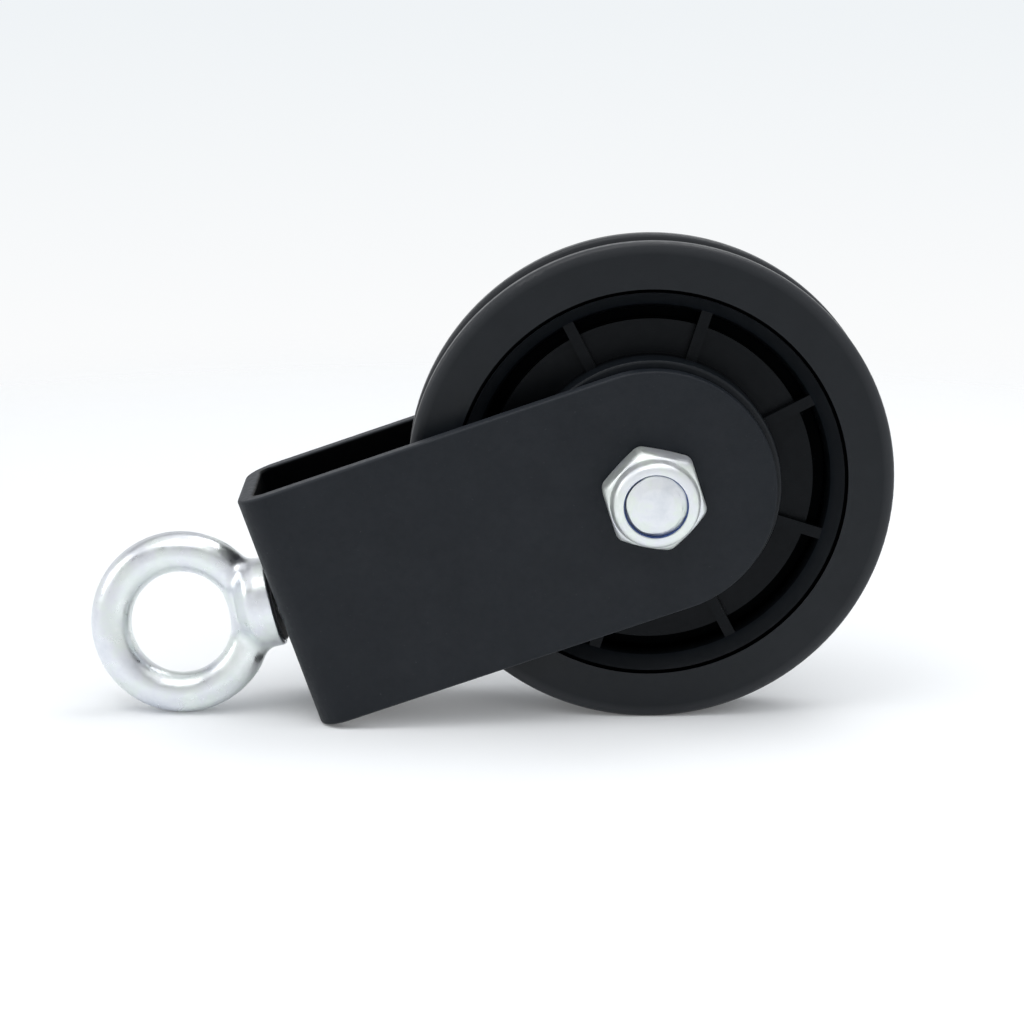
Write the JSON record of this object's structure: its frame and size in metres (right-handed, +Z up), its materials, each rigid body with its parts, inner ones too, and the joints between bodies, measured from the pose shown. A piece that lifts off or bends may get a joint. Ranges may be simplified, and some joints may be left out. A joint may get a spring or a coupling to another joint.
{
  "type": "cable pulley",
  "caption": "Grooved black wheel turning on an axle bolt in a folded strap bracket, with a swivelling eye bolt in the bracket's web.",
  "frame": {"origin": "on the floor, under the middle of the whole pulley's box, as it lies in the picture", "axes": "+X along the pulley from the eye to the wheel, +Y along the axle away from the nut, +Z up"},
  "size_m": [0.1582, 0.0474, 0.095],
  "materials": {
    "black_powder_coat": "matte powder coat",
    "black_nylon": "moulded and turned nylon",
    "zinc_plated_steel": "bright zinc plating",
    "bright_steel": "turned steel",
    "bearing_steel": "ground bearing steel",
    "cage_nylon": "moulded nylon",
    "seal_rubber": "moulded rubber",
    "nylon_insert": "blue nylon",
    "black_nylon_washer": "stamped black nylon"
  },
  "bodies": {
    "bracket": {"bracket": "black_powder_coat", "axle_bolt": "zinc_plated_steel", "axle_nut": "zinc_plated_steel", "axle_nut_insert": "nylon_insert", "near_spacer": "bright_steel", "far_spacer": "bright_steel", "bearing_spacer": "bright_steel", "near_bearing_inner_race": "bearing_steel", "far_bearing_inner_race": "bearing_steel"},
    "wheel": {"wheel": "black_nylon", "near_bearing_outer_race": "bearing_steel", "near_bearing_inner_seal": "seal_rubber", "near_bearing_outer_seal": "seal_rubber", "far_bearing_outer_race": "bearing_steel", "far_bearing_inner_seal": "seal_rubber", "far_bearing_outer_seal": "seal_rubber"},
    "near_cage": {"near_bearing_balls": "bearing_steel", "near_bearing_cage": "cage_nylon"},
    "far_cage": {"far_bearing_balls": "bearing_steel", "far_bearing_cage": "cage_nylon"},
    "eye": {"eye_bolt": "zinc_plated_steel", "eye_wear_washer": "black_nylon_washer", "eye_nut_washer": "zinc_plated_steel", "eye_nut": "zinc_plated_steel", "eye_nut_insert": "nylon_insert"}
  },
  "joints": [
    {"name": "wheel_spin", "type": "hinge", "parent": "bracket", "child": "wheel", "pos_m": [0.03165, 0.0017, 0.0475], "axis": [0, 1, 0], "continuous": true},
    {"name": "near_cage_spin", "type": "hinge", "parent": "bracket", "child": "near_cage", "pos_m": [0.03165, 0.0017, 0.0475], "axis": [0, 1, 0], "continuous": true},
    {"name": "far_cage_spin", "type": "hinge", "parent": "bracket", "child": "far_cage", "pos_m": [0.03165, 0.0017, 0.0475], "axis": [0, 1, 0], "continuous": true},
    {"name": "eye_swivel", "type": "hinge", "parent": "bracket", "child": "eye", "pos_m": [-0.03931, 0.0017, 0.02307], "axis": [0.9733, 0, 0.2294], "continuous": true}
  ],
  "couplings": [
    {"joint": "near_cage_spin", "follows": "wheel_spin", "ratio": 0.619},
    {"joint": "far_cage_spin", "follows": "wheel_spin", "ratio": 0.619}
  ]
}
